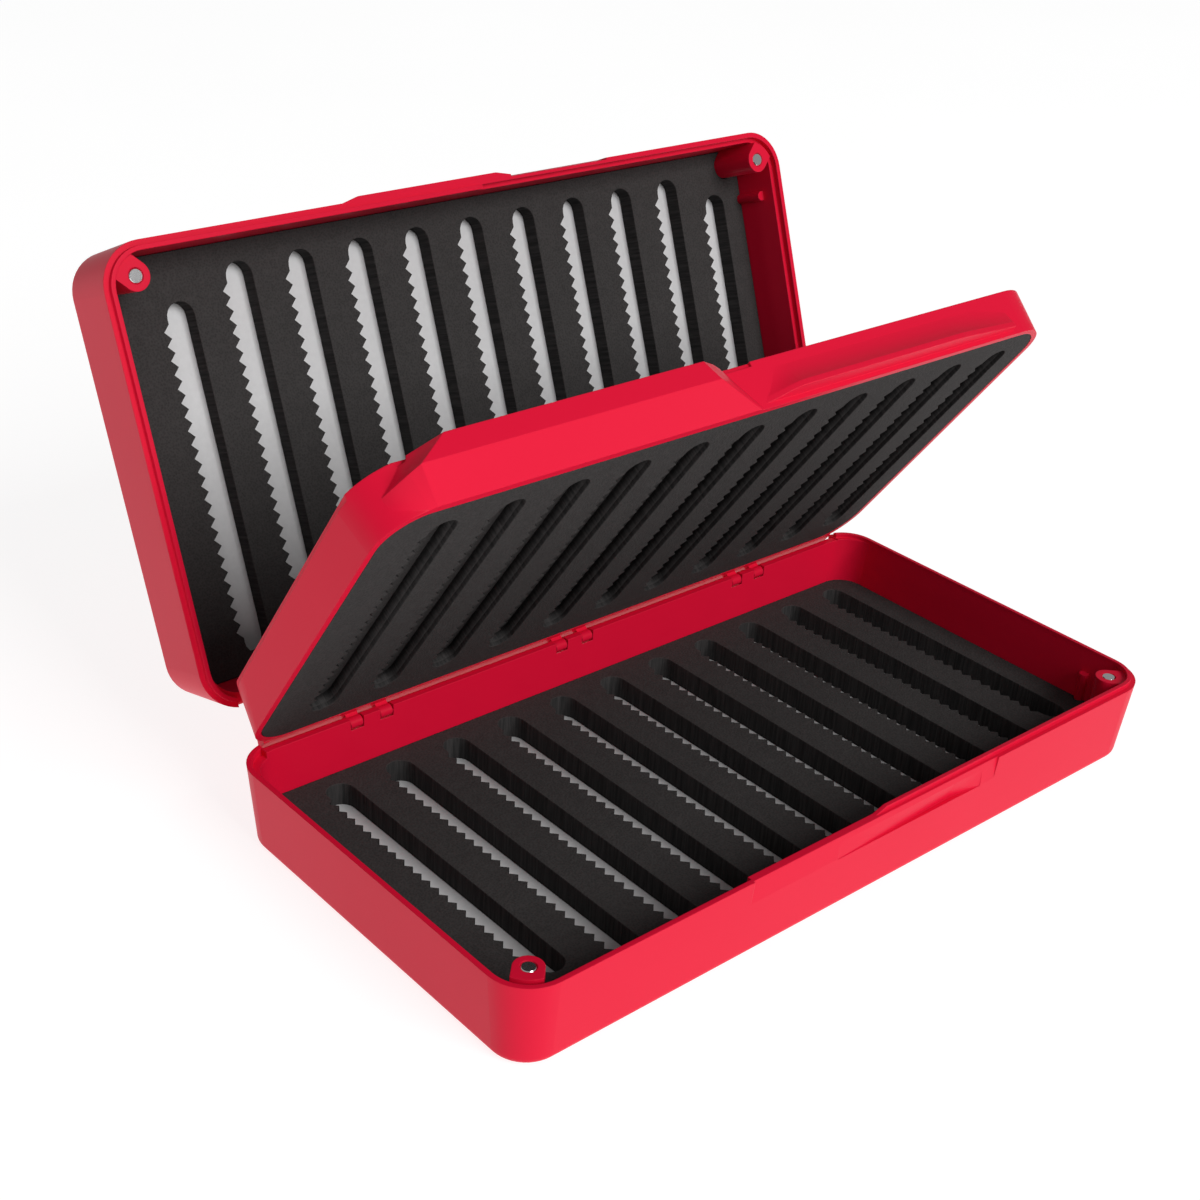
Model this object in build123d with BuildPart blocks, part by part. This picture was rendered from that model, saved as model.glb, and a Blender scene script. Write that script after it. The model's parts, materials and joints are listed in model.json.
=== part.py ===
from build123d import *
import os
from math import atan, cos, degrees, pi, radians, sin

# A pocket fly box: a tray, a double-sided middle leaf and a lid, on two hinges.
# Units are millimetres. X runs along the hinges, the finger side faces -Y and +Z is up.
# The origin is the centre of the tray's underside.
# The middle leaf and the lid are drawn in the frame of the closed box, then swung open.

# ---- overall size of the closed box ----
box_length = 160.0
box_width = 82.6
tray_depth = 16.66
middle_depth = 8.95
lid_depth = 16.32
plan_radius = 8.0
middle_open_angle = 54.24
lid_open_angle = 56.0

# ---- walls of the two shells ----
shell_wall = 2.6
hinge_wall = 2.8
shell_floor = 1.4
tray_draft = 1.33
lid_draft = 0.97
shell_edge_radius = 1.6
rim_gap = 0.15

# ---- rim: an outer lip, and inside it a step that is sunk on one half and raised on the other ----
rim_lip = 1.0
rim_step = 0.8
rabbet_depth = 1.3
rabbet_overlap = 0.2
lid_rabbet_start_x = 0.5
tongue_height = 0.9
tongue_start_x = -0.6
tongue_ramp = 2.7
ring_hinge_inset = 5.7

# ---- hinges ----
hinge_drop = 1.5
barrel_radius = 1.3
knuckle_radius = 1.1
pin_radius = 0.6
pin_running_clearance = 0.05
pin_length = 13.0
shoulder_drop = 1.7
hinge_end_inset = 6.0
hinge_inset_left = 28.5
hinge_inset_right = 33.8
knuckle_offset = 3.3
knuckle_width = 2.6
knuckle_side_gap = 0.15
notch_clearance = 0.3
snap_slot = 0.9
lower_arm_height = 5.2
upper_arm_height = 3.0
arm_front = 0.5
cut_margin = 2.0

# ---- middle leaf ----
leaf_inset_tray_side = 2.5
leaf_inset_lid_side = 1.3
leaf_radius_tray_side = 8.8
leaf_radius_lid_side = 10.0
leaf_radius_lid_hinge = 18.0
leaf_rim = 1.2
leaf_web = 1.0
heel_reach = 1.3
heel_edge = 0.5
heel_end_gap = 0.5
heel_height = 4.0
strike_inset_x = 7.5
strike_inset_y = 7.2
strike_radius = 2.2
strike_post_wall = 1.0
strike_cover = 1.0

# ---- finger lips on the middle leaf ----
left_lip_reach = 4.65
left_lip_face = 3.9
left_lip_left_inset = 7.5
left_lip_right_x = -4.5
left_lip_corner_run = 1.2
left_lip_corner_drop = 2.05
left_lip_left_ramp = 7.5
left_lip_right_ramp = 7.0
left_lip_foot_shift = 3.5
left_lip_foot_reach = 0.35
left_lip_top_shift = 1.5
left_lip_blend_angle = 45.0
left_lip_top_angle = 14.0
lip_root = 0.6
right_lip_left_x = -1.0
right_lip_right_x = 66.0
right_lip_left_run = 10.0
right_lip_right_run = 16.0
right_lip_steps = 8
right_lip_start_reach = 0.1
right_lip_reach = 2.4
right_lip_end_reach = 1.1
right_lip_slope = 0.35
right_lip_face = 1.0
right_lip_scoop = 4.4
right_lip_hollow_radius = 7.0

# ---- finger tab on the front of the tray and of the lid ----
tab_left_x = -31.0
tab_right_x = 32.0
tray_tab_recess = 0.38
nail_recess_left_x = -10.0
nail_recess_deep_x = 20.0
nail_recess_right_x = 28.0
nail_recess_depth = 1.0
nail_recess_end_depth = 0.05
nail_ledge_drop = 4.9
nail_recess_height = 3.6
lid_tab_reach = 0.8
lid_tab_right_x = 7.7
lid_tab_ramp = 3.5
lid_tab_round = 3.0
lid_recess_depth = 0.4
lid_tab_height = 5.0

# ---- magnets, bosses and ribs ----
magnet_radius = 1.4
magnet_length = 3.0
magnet_chamfer = 0.25
boss_radius = 2.6
boss_run = 2.45
boss_root_inset = 1.5
boss_inset_x = 6.3
boss_inset_y = 5.8
rib_radius = 1.0
rib_inset_y = 13.5
rib_top_drop = 4.2

# ---- foam and liners ----
liner_thickness = 0.5
tray_foam_drop = 10.08
lid_foam_drop = 10.76
foam_side_gap = 0.1
slot_pitch = 13.13
slot_width = 5.33
tooth_depth = 1.2
tooth_pitch = 2.52
slot_front_inset = 6.45
slot_back_inset = 6.1
end_slot_setback = 5.0
slot_row_shift = 6.37
tray_slot_shift = -0.55
leaf_slot_shift = -2.15
leaf_slot_depth = 2.6
leaf_slot_front_inset = 8.4
leaf_slot_back_inset = 10.3

# ---- heights and places that follow from the sizes above ----
lid_outer_z = tray_depth + middle_depth + lid_depth
lid_rim_z = tray_depth + middle_depth
leaf_bottom_z = tray_depth + rim_gap
leaf_top_z = lid_rim_z - rim_gap
leaf_height = leaf_top_z - leaf_bottom_z
front_y = -box_width / 2
rim_wall = rim_lip + rim_step
hinge_y = box_width / 2 - hinge_wall + knuckle_radius
lower_axis_z = tray_depth - hinge_drop
upper_axis_z = lid_rim_z + hinge_drop
hinge_run = box_length - 2 * hinge_end_inset
left_group_x = hinge_inset_left - box_length / 2
right_group_x = box_length / 2 - hinge_inset_right
hinge_groups = (left_group_x, (left_group_x + right_group_x) / 2, right_group_x)
cavity_length = box_length - 2 * shell_wall
leaf_cavity_length = box_length - 2 * (leaf_inset_tray_side + leaf_rim)
leaf_cavity_width = box_width - 2 * (leaf_inset_tray_side + leaf_rim)
leaf_cavity_radius = leaf_radius_tray_side - leaf_rim
leaf_cavity_hinge_radius = leaf_radius_lid_hinge - leaf_rim
boss_x = box_length / 2 - boss_inset_x
boss_y = front_y + boss_inset_y
rib_y = front_y + rib_inset_y
liner_top = shell_floor + liner_thickness
slot_count = int(cavity_length / slot_pitch)
first_slot_x = slot_row_shift - slot_count * slot_pitch / 2
slot_front_y = front_y + slot_front_inset
slot_back_y = box_width / 2 - slot_back_inset
leaf_slot_front_y = front_y + leaf_slot_front_inset
leaf_slot_back_y = box_width / 2 - leaf_slot_back_inset
sides = {"left": -1, "right": 1}
group_names = ("left", "centre", "right")

# ---- frames of the three bodies, in which the closed box is drawn ----
lower_swing = Location((0, hinge_y, lower_axis_z), (-middle_open_angle, 0, 0))
upper_swing = Location((0, hinge_y, upper_axis_z), (-lid_open_angle, 0, 0))
middle_place = lower_swing * Location((0, -hinge_y, -lower_axis_z))
lid_place = middle_place * upper_swing * Location((0, -hinge_y, -upper_axis_z))
tray_frame = Plane.XY
middle_frame_plane = Plane(middle_place)
lid_frame_plane = Plane(lid_place)


def level(frame, height, up=1):
    """Plane parallel to the leaf at a height of the closed box, its normal towards up."""
    origin = frame.from_local_coords((0, 0, height))
    return Plane(origin=origin, x_dir=frame.x_dir, z_dir=frame.z_dir * up)


def across(frame, x):
    """Plane across the box at x, whose sketches are drawn in (y, z)."""
    return Plane(origin=frame.from_local_coords((x, 0, 0)), x_dir=frame.y_dir, z_dir=frame.x_dir)


def along(frame, y):
    """Plane along the box at y, whose sketches are drawn in (x, z), its normal towards -y."""
    return Plane(origin=frame.from_local_coords((0, y, 0)), x_dir=frame.x_dir, z_dir=-frame.y_dir)


def block(low_y, high_y, low_z, high_z, mode=Mode.ADD):
    """Rectangle of a cross section, given by its limits in y and z."""
    with Locations(((low_y + high_y) / 2, (low_z + high_z) / 2)):
        Rectangle(high_y - low_y, abs(high_z - low_z), mode=mode)


def drafted_block(plane, length, width, radius, height, inset):
    """Solid rounded block that narrows by an inset on every side over its height."""
    with BuildSketch(plane) as plan:
        RectangleRounded(length, width, radius)
    extrude(plan.sketch, amount=height, taper=degrees(atan(inset / height)))


def hollow_outline(inset, hinge_inset, mode=Mode.ADD):
    """Rounded outline at an inset from the plan, with its own inset on the hinge side."""
    low_y = front_y + inset
    high_y = box_width / 2 - hinge_inset
    with Locations((0, (low_y + high_y) / 2)):
        RectangleRounded(box_length - 2 * inset, high_y - low_y, plan_radius - inset, mode=mode)


def boss_outlines(frame, height, grow=0.0):
    """Outlines of both magnet posts, widened by grow and run straight into the corners."""
    with BuildSketch(level(frame, height)) as outline:
        for side in sides.values():
            with BuildSketch(mode=Mode.PRIVATE) as post:
                with Locations(
                    (side * boss_x, boss_y), (side * (boss_x + boss_run), boss_y - boss_run)
                ):
                    Circle(boss_radius + grow)
                make_hull()
            add(post.sketch)
        hollow_outline(boss_root_inset, boss_root_inset, Mode.INTERSECT)
    return outline


def clear_plan(low_x, high_x, low_y, high_y):
    """Take a rectangle of the plan out of the current sketch."""
    with Locations(((low_x + high_x) / 2, (low_y + high_y) / 2)):
        Rectangle(high_x - low_x, high_y - low_y, mode=Mode.SUBTRACT)


def rim_ring(frame, height, outer_inset, inner_inset, hinge_inset, low_x, high_x):
    """Stretch of a ring round the rim from low_x to high_x, left open along the hinges."""
    ring_end_x = box_length / 2 - ring_hinge_inset
    with BuildSketch(level(frame, height)) as ring:
        hollow_outline(outer_inset, outer_inset)
        hollow_outline(inner_inset, hinge_inset, Mode.SUBTRACT)
        with Locations(((low_x + high_x) / 2, 0)):
            Rectangle(high_x - low_x, box_width, mode=Mode.INTERSECT)
        clear_plan(-ring_end_x, ring_end_x, 0, box_width / 2)
    return ring


def cut_hollow(frame, floor_z, foam_z, rim_z):
    """Hollow of a shell: straight from its floor to the top of the foam, and wider at the rim."""
    with BuildSketch(level(frame, floor_z)) as pit:
        hollow_outline(shell_wall, hinge_wall)
    extrude(pit.sketch, amount=foam_z - floor_z, mode=Mode.SUBTRACT)
    with BuildSketch(level(frame, foam_z)) as neck:
        hollow_outline(shell_wall, hinge_wall)
    with BuildSketch(level(frame, rim_z)) as mouth:
        hollow_outline(rim_wall, hinge_wall)
    loft(sections=[neck.sketch.face(), mouth.sketch.face()], ruled=True, mode=Mode.SUBTRACT)


def cut_rabbet(frame, rim_z, up, low_x, high_x):
    """Sink the inner step of a rim between low_x and high_x, open to the hollow."""
    inner_inset = rim_wall + rabbet_overlap
    hinge_inset = hinge_wall + rabbet_overlap
    ring = rim_ring(frame, rim_z, rim_lip, inner_inset, hinge_inset, low_x, high_x)
    extrude(ring.sketch, amount=-rabbet_depth * up, mode=Mode.SUBTRACT)


def add_tongue(frame, rim_z, up, low_x, high_x, start_x, ramp):
    """Raise the inner step of a rim between low_x and high_x, with a ramp at its start."""
    root_z = rim_z - rabbet_depth * up
    ring = rim_ring(frame, root_z, rim_lip, rim_wall, rim_wall, low_x, high_x)
    extrude(ring.sketch, amount=(rabbet_depth + tongue_height) * up)
    with BuildSketch(along(frame, front_y)) as wedge:
        with BuildLine() as slope:
            Polyline(
                (start_x, rim_z),
                (start_x + ramp, rim_z + tongue_height * up),
                (start_x, rim_z + tongue_height * up),
                close=True,
            )
        make_face(slope.edges())
    extrude(wedge.sketch, amount=-plan_radius, mode=Mode.SUBTRACT)


def cut_hinge_line(frame, axis_z, up):
    """Round the back wall's outer top about the hinge axis, and cut the notches for knuckles."""
    above_rim_z = axis_z + (hinge_drop + cut_margin) * up
    shoulder_z = axis_z - shoulder_drop * up
    outer_y = box_width / 2 + cut_margin
    inner_y = hinge_y - barrel_radius - cut_margin
    with BuildSketch(across(frame, -hinge_run / 2)) as above_barrel:
        block(hinge_y, outer_y, shoulder_z, above_rim_z)
        with Locations((hinge_y, axis_z)):
            Circle(barrel_radius, mode=Mode.SUBTRACT)
        block(inner_y, hinge_y, axis_z + barrel_radius * up, above_rim_z)
    extrude(above_barrel.sketch, amount=hinge_run, mode=Mode.SUBTRACT)
    notch_width = knuckle_width + 2 * knuckle_side_gap
    for group_x in hinge_groups:
        for offset in (-knuckle_offset, knuckle_offset):
            with BuildSketch(across(frame, group_x + offset - notch_width / 2)) as notch:
                block(hinge_y, outer_y, shoulder_z, above_rim_z)
                block(inner_y, hinge_y, axis_z, above_rim_z)
                with Locations((hinge_y, axis_z)):
                    Circle(knuckle_radius + notch_clearance)
            extrude(notch.sketch, amount=notch_width, mode=Mode.SUBTRACT)
        with BuildSketch(across(frame, group_x - pin_length / 2)) as pin_bore:
            with Locations((hinge_y, axis_z)):
                Circle(pin_radius)
        extrude(pin_bore.sketch, amount=pin_length, mode=Mode.SUBTRACT)


def add_bosses(frame, floor_z, rim_z, up):
    """Magnet posts in the two front corners and a small rib on each end wall."""
    outline = boss_outlines(frame, floor_z)
    extrude(outline.sketch, amount=abs(rim_z - floor_z), dir=frame.z_dir * up)
    rib_height = abs(rim_z - floor_z) - rib_top_drop
    with BuildSketch(level(frame, floor_z)) as ribs:
        with Locations(*[(side * cavity_length / 2, rib_y) for side in sides.values()]):
            Circle(rib_radius)
    extrude(ribs.sketch, amount=rib_height * up)
    with BuildSketch(level(frame, rim_z)) as magnet_bores:
        with Locations(*[(side * boss_x, boss_y) for side in sides.values()]):
            Circle(magnet_radius)
    extrude(magnet_bores.sketch, amount=-magnet_length * up, mode=Mode.SUBTRACT)


def add_pins(frame, axis_z, level_name):
    """Make and write the steel pins of one hinge line, and return their shapes."""
    for group_x, group_name in zip(hinge_groups, group_names):
        with BuildPart() as pin:
            with BuildSketch(across(frame, group_x - pin_length / 2)) as pin_section:
                with Locations((hinge_y, axis_z)):
                    Circle(pin_radius)
            extrude(pin_section.sketch, amount=pin_length)
        keep(pin, f"{level_name}_hinge_pin_{group_name}")


def keep(piece, name):
    """Label a finished piece and write it to its own file."""
    piece.part.label = name
    export_step(piece.part, f"parts/{name}.step")


def make_magnets(frame, rim_z, up, owner):
    """Make and write the two disc magnets that sit flush in the corner posts of a shell."""
    for side_name, side in sides.items():
        with BuildPart() as magnet:
            with BuildSketch(level(frame, rim_z)) as disc:
                with Locations((side * boss_x, boss_y)):
                    Circle(magnet_radius)
            extrude(disc.sketch, amount=-magnet_length * up)
            rim_faces = magnet.faces().sort_by(Axis(frame.origin, frame.z_dir * up))
            chamfer(rim_faces[-1].edges(), magnet_chamfer)
        keep(magnet, f"{owner}_magnet_{side_name}")


def make_liner(frame, floor_z, up, owner):
    """Make and write the pale sheet under the foam, cut round the corner posts."""
    outline = boss_outlines(frame, floor_z, foam_side_gap)
    with BuildPart() as liner:
        with BuildSketch(level(frame, floor_z)) as plan:
            hollow_outline(shell_wall + foam_side_gap, hinge_wall + foam_side_gap)
            with Locations(*[(side * cavity_length / 2, rib_y) for side in sides.values()]):
                Circle(rib_radius + foam_side_gap, mode=Mode.SUBTRACT)
        extrude(plan.sketch, amount=liner_thickness * up)
        extrude(outline.sketch, amount=liner_thickness * up, mode=Mode.SUBTRACT)
    keep(liner, f"{owner}_liner")


def slot_outline(left_x, front, back):
    """Outline of one slot: a round-ended slot whose left edge is cut into V teeth."""
    straight_left = left_x + tooth_depth
    middle_x = straight_left + slot_width / 2
    with Locations((middle_x, (front + back) / 2)):
        SlotOverall(back - front, slot_width, rotation=90)
    run = back - front - slot_width
    tooth_count = int(run / tooth_pitch)
    first_y = (front + back) / 2 - tooth_count * tooth_pitch / 2
    with BuildLine() as teeth:
        points = [(middle_x, first_y), (straight_left, first_y)]
        for tooth in range(tooth_count):
            points.append((left_x, first_y + (tooth + 0.5) * tooth_pitch))
            points.append((straight_left, first_y + (tooth + 1) * tooth_pitch))
        points.append((middle_x, first_y + tooth_count * tooth_pitch))
        Polyline(*points, close=True)
    make_face(teeth.edges())


def slot_row(shift, front, back, setback):
    """All the slots of one foam sheet; the first and the last start further from the front."""
    for index in range(slot_count):
        is_end = index in (0, slot_count - 1)
        slot_front = front + setback if is_end else front
        slot_outline(first_slot_x + shift + index * slot_pitch, slot_front, back)


def make_shell_foam(frame, floor_z, up, thickness, slot_shift, owner):
    """Make and write the slotted foam that lies on the liner of a shell."""
    posts = boss_outlines(frame, floor_z, foam_side_gap)
    with BuildPart() as foam:
        with BuildSketch(level(frame, floor_z)) as plan:
            hollow_outline(shell_wall + foam_side_gap, hinge_wall + foam_side_gap)
            with Locations(*[(side * cavity_length / 2, rib_y) for side in sides.values()]):
                Circle(rib_radius + foam_side_gap, mode=Mode.SUBTRACT)
        extrude(plan.sketch, amount=thickness * up)
        extrude(posts.sketch, amount=thickness * up, mode=Mode.SUBTRACT)
        with BuildSketch(level(frame, floor_z)) as slots:
            slot_row(slot_shift, slot_front_y, slot_back_y, end_slot_setback)
        extrude(slots.sketch, amount=thickness * up, mode=Mode.SUBTRACT)
    keep(foam, f"{owner}_foam")


def section_run(frame, low_x, high_x, outline, mode=Mode.ADD):
    """Run a closed (y, z) outline along X from low_x to high_x."""
    with BuildSketch(across(frame, low_x)) as section:
        with BuildLine() as edge:
            Polyline(*outline, close=True)
        make_face(edge.edges())
    extrude(section.sketch, amount=high_x - low_x, mode=mode)


def nail_recess_section(x, depth):
    """Section of the tray's nail recess: the wall slopes in and ends on an up-facing ledge."""
    ledge_z = tray_depth - nail_ledge_drop
    top_z = ledge_z + nail_recess_height
    wall_y = front_y + tray_draft * nail_ledge_drop / tray_depth
    with BuildSketch(across(tray_frame, x)) as section:
        with BuildLine() as outline:
            Polyline(
                (front_y - cut_margin, ledge_z),
                (wall_y + depth, ledge_z),
                (front_y + tray_tab_recess, top_z),
                (front_y - cut_margin, top_z),
                close=True,
            )
        make_face(outline.edges())
    return section


def leaf_plan(height, inset, front_radius, hinge_radius):
    """Outline of the middle leaf at a height, rounded more on the hinge side if wanted."""
    with BuildSketch(level(middle_frame_plane, height)) as plan:
        Rectangle(box_length - 2 * inset, box_width - 2 * inset)
        fillet(plan.vertices().group_by(Axis.Y)[0], front_radius)
        fillet(plan.vertices().group_by(Axis.Y)[-1], hinge_radius)
    return plan


def right_lip_section(x, reach):
    """Section of the right finger lip: sloped underside, narrow face and hollow above it."""
    underside_z = tray_depth + tongue_height + rim_gap
    edge_z = underside_z + right_lip_slope * reach / right_lip_reach
    hollow_z = edge_z + right_lip_face
    top_z = hollow_z + right_lip_scoop
    top_y = leaf_tray_front_y - leaf_taper * (top_z - leaf_bottom_z) / leaf_height
    with BuildSketch(across(middle_frame_plane, x)) as section:
        with BuildLine() as outline:
            Polyline(
                (top_y, top_z),
                (leaf_tray_front_y + lip_root, top_z),
                (leaf_tray_front_y + lip_root, underside_z),
                (leaf_tray_front_y, underside_z),
                (leaf_tray_front_y - reach, edge_z),
                (leaf_tray_front_y - reach, hollow_z),
            )
            RadiusArc(
                (leaf_tray_front_y - reach, hollow_z), (top_y, top_z), -right_lip_hollow_radius
            )
        make_face(outline.edges())
    return section


def corner_point(radius, angle):
    """Point just inside the front left corner of the leaf, at an angle from the front."""
    centre_x = leaf_inset_tray_side + leaf_radius_tray_side - box_length / 2
    centre_y = leaf_tray_front_y + leaf_radius_tray_side
    reach = radius - foam_side_gap
    return centre_x - reach * sin(radians(angle)), centre_y - reach * cos(radians(angle))


def lip_outline(height, *points):
    """Outline of the left finger lip at a height, closed through the inside of the leaf."""
    with BuildSketch(level(middle_frame_plane, height)) as outline:
        with BuildLine():
            Polyline(*points, (points[-1][0], leaf_tray_front_y + lip_root), close=True)
        make_face()
    return outline


def add_knuckles(axis_z, outline):
    """Middle leaf's knuckles on one hinge line: barrels with an arm, a bore and a snap slot."""
    bore_radius = pin_radius + pin_running_clearance
    for group_x in hinge_groups:
        for offset in (-knuckle_offset, knuckle_offset):
            low_x = group_x + offset - knuckle_width / 2
            with BuildSketch(across(middle_frame_plane, low_x)) as barrel:
                with BuildLine() as arm:
                    Polyline(*[(hinge_y + y, axis_z + z) for y, z in outline], close=True)
                make_face(arm.edges())
                with Locations((hinge_y, axis_z)):
                    Circle(knuckle_radius)
                    Circle(bore_radius, mode=Mode.SUBTRACT)
                with Locations((hinge_y + knuckle_radius, axis_z)):
                    Rectangle(2 * knuckle_radius, snap_slot, mode=Mode.SUBTRACT)
            extrude(barrel.sketch, amount=knuckle_width)


os.makedirs("parts", exist_ok=True)

# ================= tray =================
with BuildPart() as tray_shell:
    drafted_block(
        level(tray_frame, tray_depth, -1), box_length, box_width, plan_radius, tray_depth, tray_draft
    )
    fillet(tray_shell.faces().sort_by(Axis.Z)[0].edges(), shell_edge_radius)

    # finger tab: a flat recess at the rim, and a nail recess in it that deepens to the right
    tab_recess = [
        (front_y - cut_margin, tray_depth - nail_ledge_drop),
        (front_y + tray_tab_recess, tray_depth - nail_ledge_drop),
        (front_y + tray_tab_recess, tray_depth + cut_margin),
        (front_y - cut_margin, tray_depth + cut_margin),
    ]
    section_run(tray_frame, tab_left_x, tab_right_x, tab_recess, Mode.SUBTRACT)
    nail_recess = [
        nail_recess_section(nail_recess_left_x, nail_recess_end_depth),
        nail_recess_section(nail_recess_deep_x, nail_recess_depth),
        nail_recess_section(nail_recess_right_x, nail_recess_end_depth),
    ]
    nail_faces = [section.sketch.face() for section in nail_recess]
    loft(sections=nail_faces, ruled=True, mode=Mode.SUBTRACT)

    cut_hollow(tray_frame, shell_floor, tray_depth - tray_foam_drop, tray_depth)
    add_bosses(tray_frame, shell_floor, tray_depth, 1)
    cut_rabbet(tray_frame, tray_depth, 1, -box_length / 2, tab_left_x)
    add_tongue(
        tray_frame, tray_depth, 1, tongue_start_x, box_length / 2, tongue_start_x, tongue_ramp
    )
    cut_hinge_line(tray_frame, lower_axis_z, 1)
keep(tray_shell, "tray_shell")

tray_foam_thickness = tray_depth - tray_foam_drop - liner_top
make_liner(tray_frame, shell_floor, 1, "tray")
make_shell_foam(tray_frame, liner_top, 1, tray_foam_thickness, tray_slot_shift, "tray")
make_magnets(tray_frame, tray_depth, 1, "tray")
add_pins(tray_frame, lower_axis_z, "lower")

# ================= lid =================
with BuildPart() as lid_shell:
    drafted_block(
        level(lid_frame_plane, lid_rim_z), box_length, box_width, plan_radius, lid_depth, lid_draft
    )
    lid_axis = Axis(lid_frame_plane.origin, lid_frame_plane.z_dir)
    fillet(lid_shell.faces().sort_by(lid_axis)[-1].edges(), shell_edge_radius)

    # finger tab: a shallow swelling on the left of the front rim, and a hollow on its right
    with BuildSketch(level(lid_frame_plane, lid_rim_z)) as swelling:
        with BuildLine():
            Polyline(
                (tab_left_x, front_y + shell_wall / 2),
                (tab_left_x, front_y),
                (tab_left_x + lid_tab_ramp, front_y - lid_tab_reach),
                (lid_tab_right_x - lid_tab_ramp, front_y - lid_tab_reach),
                (lid_tab_right_x, front_y),
                (lid_tab_right_x, front_y + shell_wall / 2),
                close=True,
            )
        make_face()
        fillet(swelling.vertices().group_by(Axis.Y)[0], lid_tab_round)
    extrude(swelling.sketch, amount=lid_tab_height, taper=degrees(atan(lid_tab_reach / lid_tab_height)))
    hollow = [
        (front_y - cut_margin, lid_rim_z - cut_margin),
        (front_y + lid_recess_depth, lid_rim_z - cut_margin),
        (front_y + lid_recess_depth, lid_rim_z),
        (front_y, lid_rim_z + lid_tab_height),
        (front_y - cut_margin, lid_rim_z + lid_tab_height),
    ]
    section_run(lid_frame_plane, lid_tab_right_x, tab_right_x, hollow, Mode.SUBTRACT)

    lid_floor_z = lid_outer_z - shell_floor
    cut_hollow(lid_frame_plane, lid_floor_z, lid_rim_z + lid_foam_drop, lid_rim_z)
    add_bosses(lid_frame_plane, lid_floor_z, lid_rim_z, -1)
    cut_rabbet(lid_frame_plane, lid_rim_z, -1, lid_rabbet_start_x, box_length / 2)
    add_tongue(
        lid_frame_plane, lid_rim_z, -1, -box_length / 2, lid_rabbet_start_x,
        lid_rabbet_start_x, -tongue_ramp
    )
    cut_hinge_line(lid_frame_plane, upper_axis_z, -1)
keep(lid_shell, "lid_shell")

lid_foam_thickness = lid_depth - lid_foam_drop - liner_top
make_liner(lid_frame_plane, lid_floor_z, -1, "lid")
make_shell_foam(
    lid_frame_plane, lid_floor_z - liner_thickness, -1, lid_foam_thickness, 0.0, "lid"
)
make_magnets(lid_frame_plane, lid_rim_z, -1, "lid")
add_pins(lid_frame_plane, upper_axis_z, "upper")

# ================= middle leaf =================
leaf_taper = leaf_inset_tray_side - leaf_inset_lid_side
leaf_lid_front_y = front_y + leaf_inset_lid_side
leaf_tray_front_y = front_y + leaf_inset_tray_side
web_bottom_z = (leaf_bottom_z + leaf_top_z - leaf_web) / 2
web_top_z = web_bottom_z + leaf_web
strike_x = box_length / 2 - strike_inset_x
strike_y = front_y + strike_inset_y
post_radius = strike_radius + strike_post_wall

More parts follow.
